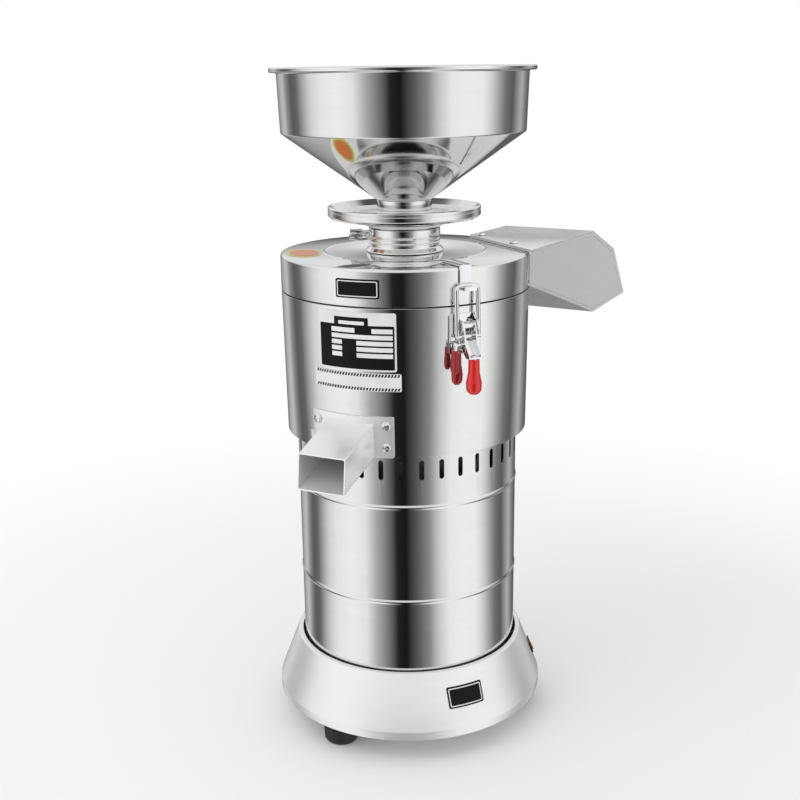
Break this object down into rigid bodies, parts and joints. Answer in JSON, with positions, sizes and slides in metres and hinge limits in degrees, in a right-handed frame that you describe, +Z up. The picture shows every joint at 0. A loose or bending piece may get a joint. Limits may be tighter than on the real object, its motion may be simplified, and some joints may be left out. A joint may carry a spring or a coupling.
{
  "type": "soy milk grinder",
  "caption": "Stainless steel soy milk grinder with a hopper, handwheel stone adjuster, latched cover, side residue chute, milk spout and motor base on rubber feet.",
  "frame": {"origin": "on the main axis, at the centre of the bottom plate's flat underside; the rubber feet reach below it", "axes": "+Z up along the main axis; -Y towards the milk spout; +X to the right of someone facing the spout"},
  "size_m": [0.349, 0.5729, 0.8123],
  "materials": {
    "polished_steel": "mirror polished stainless steel",
    "satin_steel": "fine satin grain",
    "chrome": "bright plated",
    "bearing_steel": "ground",
    "cast_aluminium": "as cast",
    "iron_core": "laminated",
    "windings": "varnished copper on a laminated core",
    "emery_stone": "rough bonded emery",
    "brass": "turned",
    "red_grip": "glossy dipped vinyl",
    "dark_red_grip": "glossy dipped vinyl",
    "black_rubber": "matte",
    "black_plastic": "moulded",
    "red_rocker": "gloss",
    "black_plate": "printed and lacquered"
  },
  "bodies": {
    "root": {"bottom_plate": "satin_steel", "base_skirt": "satin_steel", "foot_1": "black_rubber", "foot_2": "black_rubber", "foot_3": "black_rubber", "motor_housing": "polished_steel", "drum": "polished_steel", "shaft_seal": "black_rubber", "motor_top_bell": "cast_aluminium", "stator": "windings", "motor_bottom_bell": "cast_aluminium", "upper_bearing": "bearing_steel", "lower_bearing": "bearing_steel", "capacitor": "satin_steel", "spout": "satin_steel", "spout_screw_1": "chrome", "spout_screw_2": "chrome", "spout_screw_3": "chrome", "spout_screw_4": "chrome", "cover_gasket": "black_rubber", "cover": "polished_steel", "neck": "polished_steel", "chute_box": "satin_steel", "chute_top": "satin_steel", "chute_screw_1": "chrome", "chute_screw_2": "chrome", "keeper_1": "chrome", "keeper_2": "chrome", "latch_base_1": "chrome", "latch_base_2": "chrome", "top_badge": "black_plate", "data_plate": "black_plate", "switch_housing": "black_plastic", "cable_gland": "black_rubber"},
    "rotor": {"motor_shaft": "bearing_steel", "rotor_core": "iron_core", "cooling_fan": "black_plastic", "basket_hub": "satin_steel", "filter_basket": "satin_steel", "lower_stone": "emery_stone", "stone_nut": "brass"},
    "stone_carrier": {"feed_tube": "polished_steel", "stone_holder": "satin_steel", "upper_stone": "emery_stone"},
    "handwheel": {"handwheel": "polished_steel"},
    "hopper": {"hopper": "polished_steel"},
    "lock_slide": {"lock_slug": "brass"},
    "lock_bolt": {"lock_bolt": "chrome"},
    "switch_rocker": {"switch_rocker": "red_rocker"},
    "latch_1": {"latch_handle_1": "chrome", "latch_grip_1": "red_grip"},
    "link_1": {"pull_link_1": "chrome"},
    "lever_1": {"lock_lever_1": "chrome", "lock_grip_1": "dark_red_grip"},
    "latch_2": {"latch_handle_2": "chrome", "latch_grip_2": "red_grip"},
    "link_2": {"pull_link_2": "chrome"},
    "lever_2": {"lock_lever_2": "chrome", "lock_grip_2": "dark_red_grip"}
  },
  "joints": [
    {"name": "rotor_spin", "type": "hinge", "parent": "root", "child": "rotor", "pos_m": [0, 0, 0.2], "axis": [0, 0, 1], "continuous": true},
    {"name": "stone_lift", "type": "slide", "parent": "root", "child": "stone_carrier", "axis": [0, 0, 1], "range_m": [-0.0006, 0.0022]},
    {"name": "handwheel_turn", "type": "hinge", "parent": "stone_carrier", "child": "handwheel", "pos_m": [0, 0, 0.6], "axis": [0, 0, 1], "range_deg": [-90, 360]},
    {"name": "hopper_lift", "type": "slide", "parent": "stone_carrier", "child": "hopper", "axis": [0, 0, 1], "range_m": [0, 0.06]},
    {"name": "lock_slide", "type": "slide", "parent": "root", "child": "lock_slide", "axis": [-0.8988, -0.4384, 0], "range_m": [0, 0.0015]},
    {"name": "lock_bolt_turn", "type": "hinge", "parent": "lock_slide", "child": "lock_bolt", "pos_m": [-0.04494, -0.02192, 0.588], "axis": [-0.8988, -0.4384, 0], "range_deg": [0, 384]},
    {"name": "latch_1_swing", "type": "hinge", "parent": "root", "child": "latch_1", "pos_m": [0.12451, -0.09728, 0.5025], "axis": [-0.6157, -0.788, 0], "range_deg": [0, 120]},
    {"name": "link_1_swing", "type": "hinge", "parent": "latch_1", "child": "link_1", "pos_m": [0.12451, -0.09728, 0.4905], "axis": [-0.6157, -0.788, 0], "range_deg": [-112, 0]},
    {"name": "lever_1_swing", "type": "hinge", "parent": "latch_1", "child": "lever_1", "pos_m": [0.12648, -0.09881, 0.482], "axis": [-0.6157, -0.788, 0], "range_deg": [0, 25], "stiffness_Nm_per_rad": 0.03},
    {"name": "latch_2_swing", "type": "hinge", "parent": "root", "child": "latch_2", "pos_m": [-0.12451, 0.09728, 0.5025], "axis": [0.6157, 0.788, 0], "range_deg": [0, 120]},
    {"name": "link_2_swing", "type": "hinge", "parent": "latch_2", "child": "link_2", "pos_m": [-0.12451, 0.09728, 0.4905], "axis": [0.6157, 0.788, 0], "range_deg": [-112, 0]},
    {"name": "lever_2_swing", "type": "hinge", "parent": "latch_2", "child": "lever_2", "pos_m": [-0.12648, 0.09881, 0.482], "axis": [0.6157, 0.788, 0], "range_deg": [0, 25], "stiffness_Nm_per_rad": 0.03},
    {"name": "rocker_tilt", "type": "hinge", "parent": "root", "child": "switch_rocker", "pos_m": [0.13993, 0.0744, 0.03527], "axis": [0.3214, 0.1709, -0.9314], "range_deg": [0, 20]}
  ],
  "couplings": [
    {"joint": "stone_lift", "follows": "handwheel_turn", "m_per_rad": 0.00031831},
    {"joint": "lock_bolt_turn", "follows": "lock_slide", "rad_per_m": 4188.8},
    {"joint": "link_1_swing", "follows": "latch_1_swing", "ratio": -0.91},
    {"joint": "link_2_swing", "follows": "latch_2_swing", "ratio": -0.91}
  ]
}
